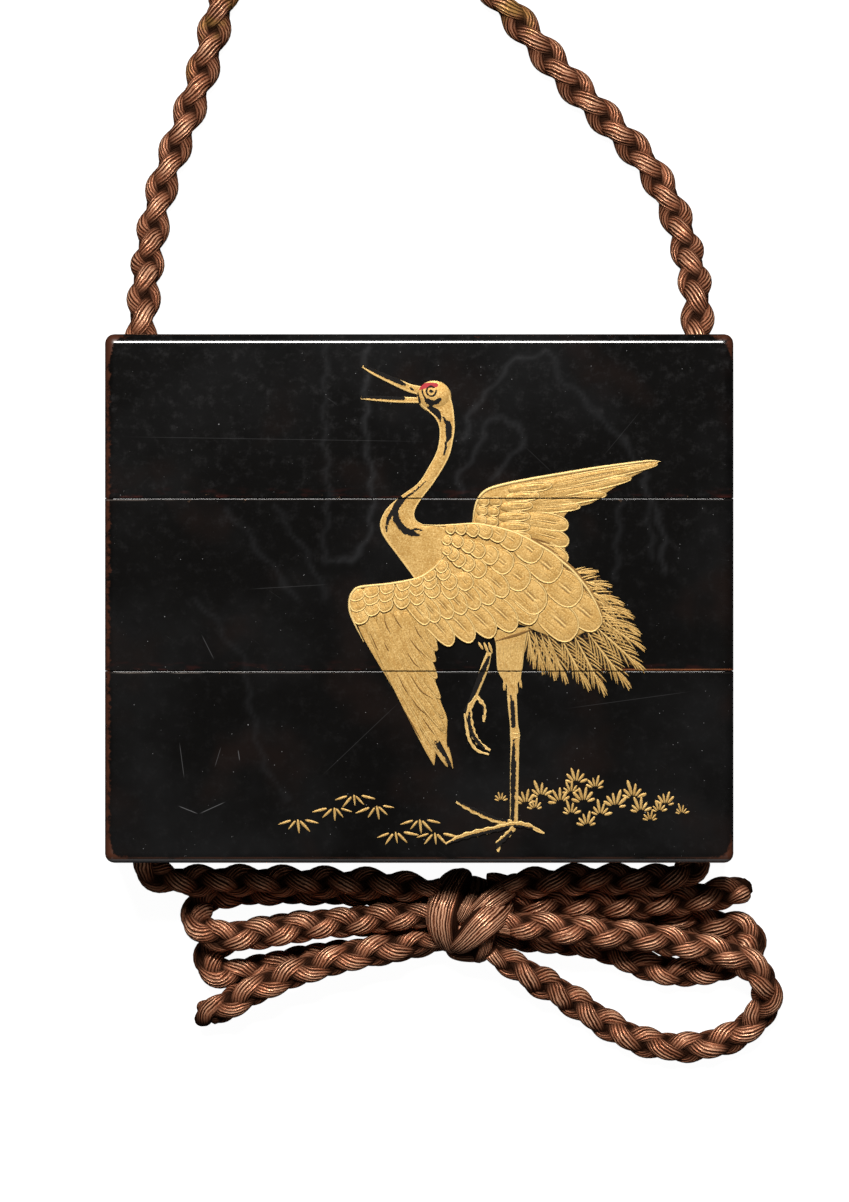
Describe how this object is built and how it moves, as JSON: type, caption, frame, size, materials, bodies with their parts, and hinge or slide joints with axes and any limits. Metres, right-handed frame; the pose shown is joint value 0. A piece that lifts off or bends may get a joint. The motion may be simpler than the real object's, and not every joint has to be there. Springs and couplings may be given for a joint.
{
  "type": "inro case",
  "caption": "Flat rectangular stacking box case with a lift-off lid, cord channels in its sides, a raised gold crane on its front and a braided cord tied in a bow.",
  "frame": {"origin": "middle of the case's back face, which it lies on; the cord is left out of the measure", "axes": "+X along the case's width, +Y towards the lid, +Z out of the decorated front face"},
  "size_m": [0.0813, 0.1472, 0.0204],
  "materials": {
    "black_lacquer": "polished black lacquer over wood, worn brown at its edges",
    "brown_silk": "plaited silk cord"
  },
  "bodies": {
    "root": {"lid": "black_lacquer", "middle_case": "black_lacquer", "bottom_case": "black_lacquer", "main_cord": "brown_silk", "bow_loop_left_front": "brown_silk", "bow_loop_left_back": "brown_silk", "bow_loop_right_front": "brown_silk", "bow_loop_right_back": "brown_silk", "bow_tail_left": "brown_silk", "bow_tail_right": "brown_silk", "bow_knot": "brown_silk"}
  },
  "joints": []
}
